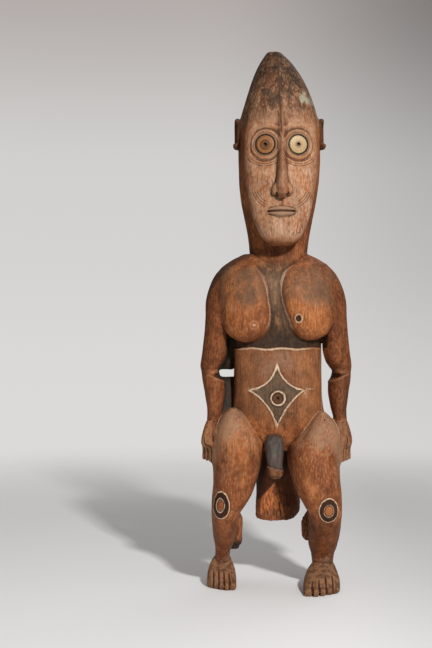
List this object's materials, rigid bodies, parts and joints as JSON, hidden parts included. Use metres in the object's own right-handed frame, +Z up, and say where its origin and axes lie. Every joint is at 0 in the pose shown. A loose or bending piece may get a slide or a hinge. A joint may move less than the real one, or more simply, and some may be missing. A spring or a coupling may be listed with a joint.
{
  "type": "standing male figure",
  "caption": "Carved wooden standing male figure with shell-disc eyes and a painted star round the navel, with the stump of a stool column behind its legs.",
  "frame": {"origin": "on the ground, under the middle of the figure's bounding box", "axes": "+Z up the log from the soles to the crown, the figure faces -Y, and its left side is at +X"},
  "size_m": [0.3414, 0.2378, 1.197],
  "materials": {
    "wood": "hand-carved, rubbed with earth pigment, worn and dusty",
    "shell": "ground and polished cone shell",
    "paste": "dull dark nut and earth paste"
  },
  "bodies": {
    "root": {"figure": "wood", "left_eye_shell": "shell", "right_eye_shell": "shell", "left_eye_paste": "paste", "right_eye_paste": "paste"}
  },
  "joints": []
}
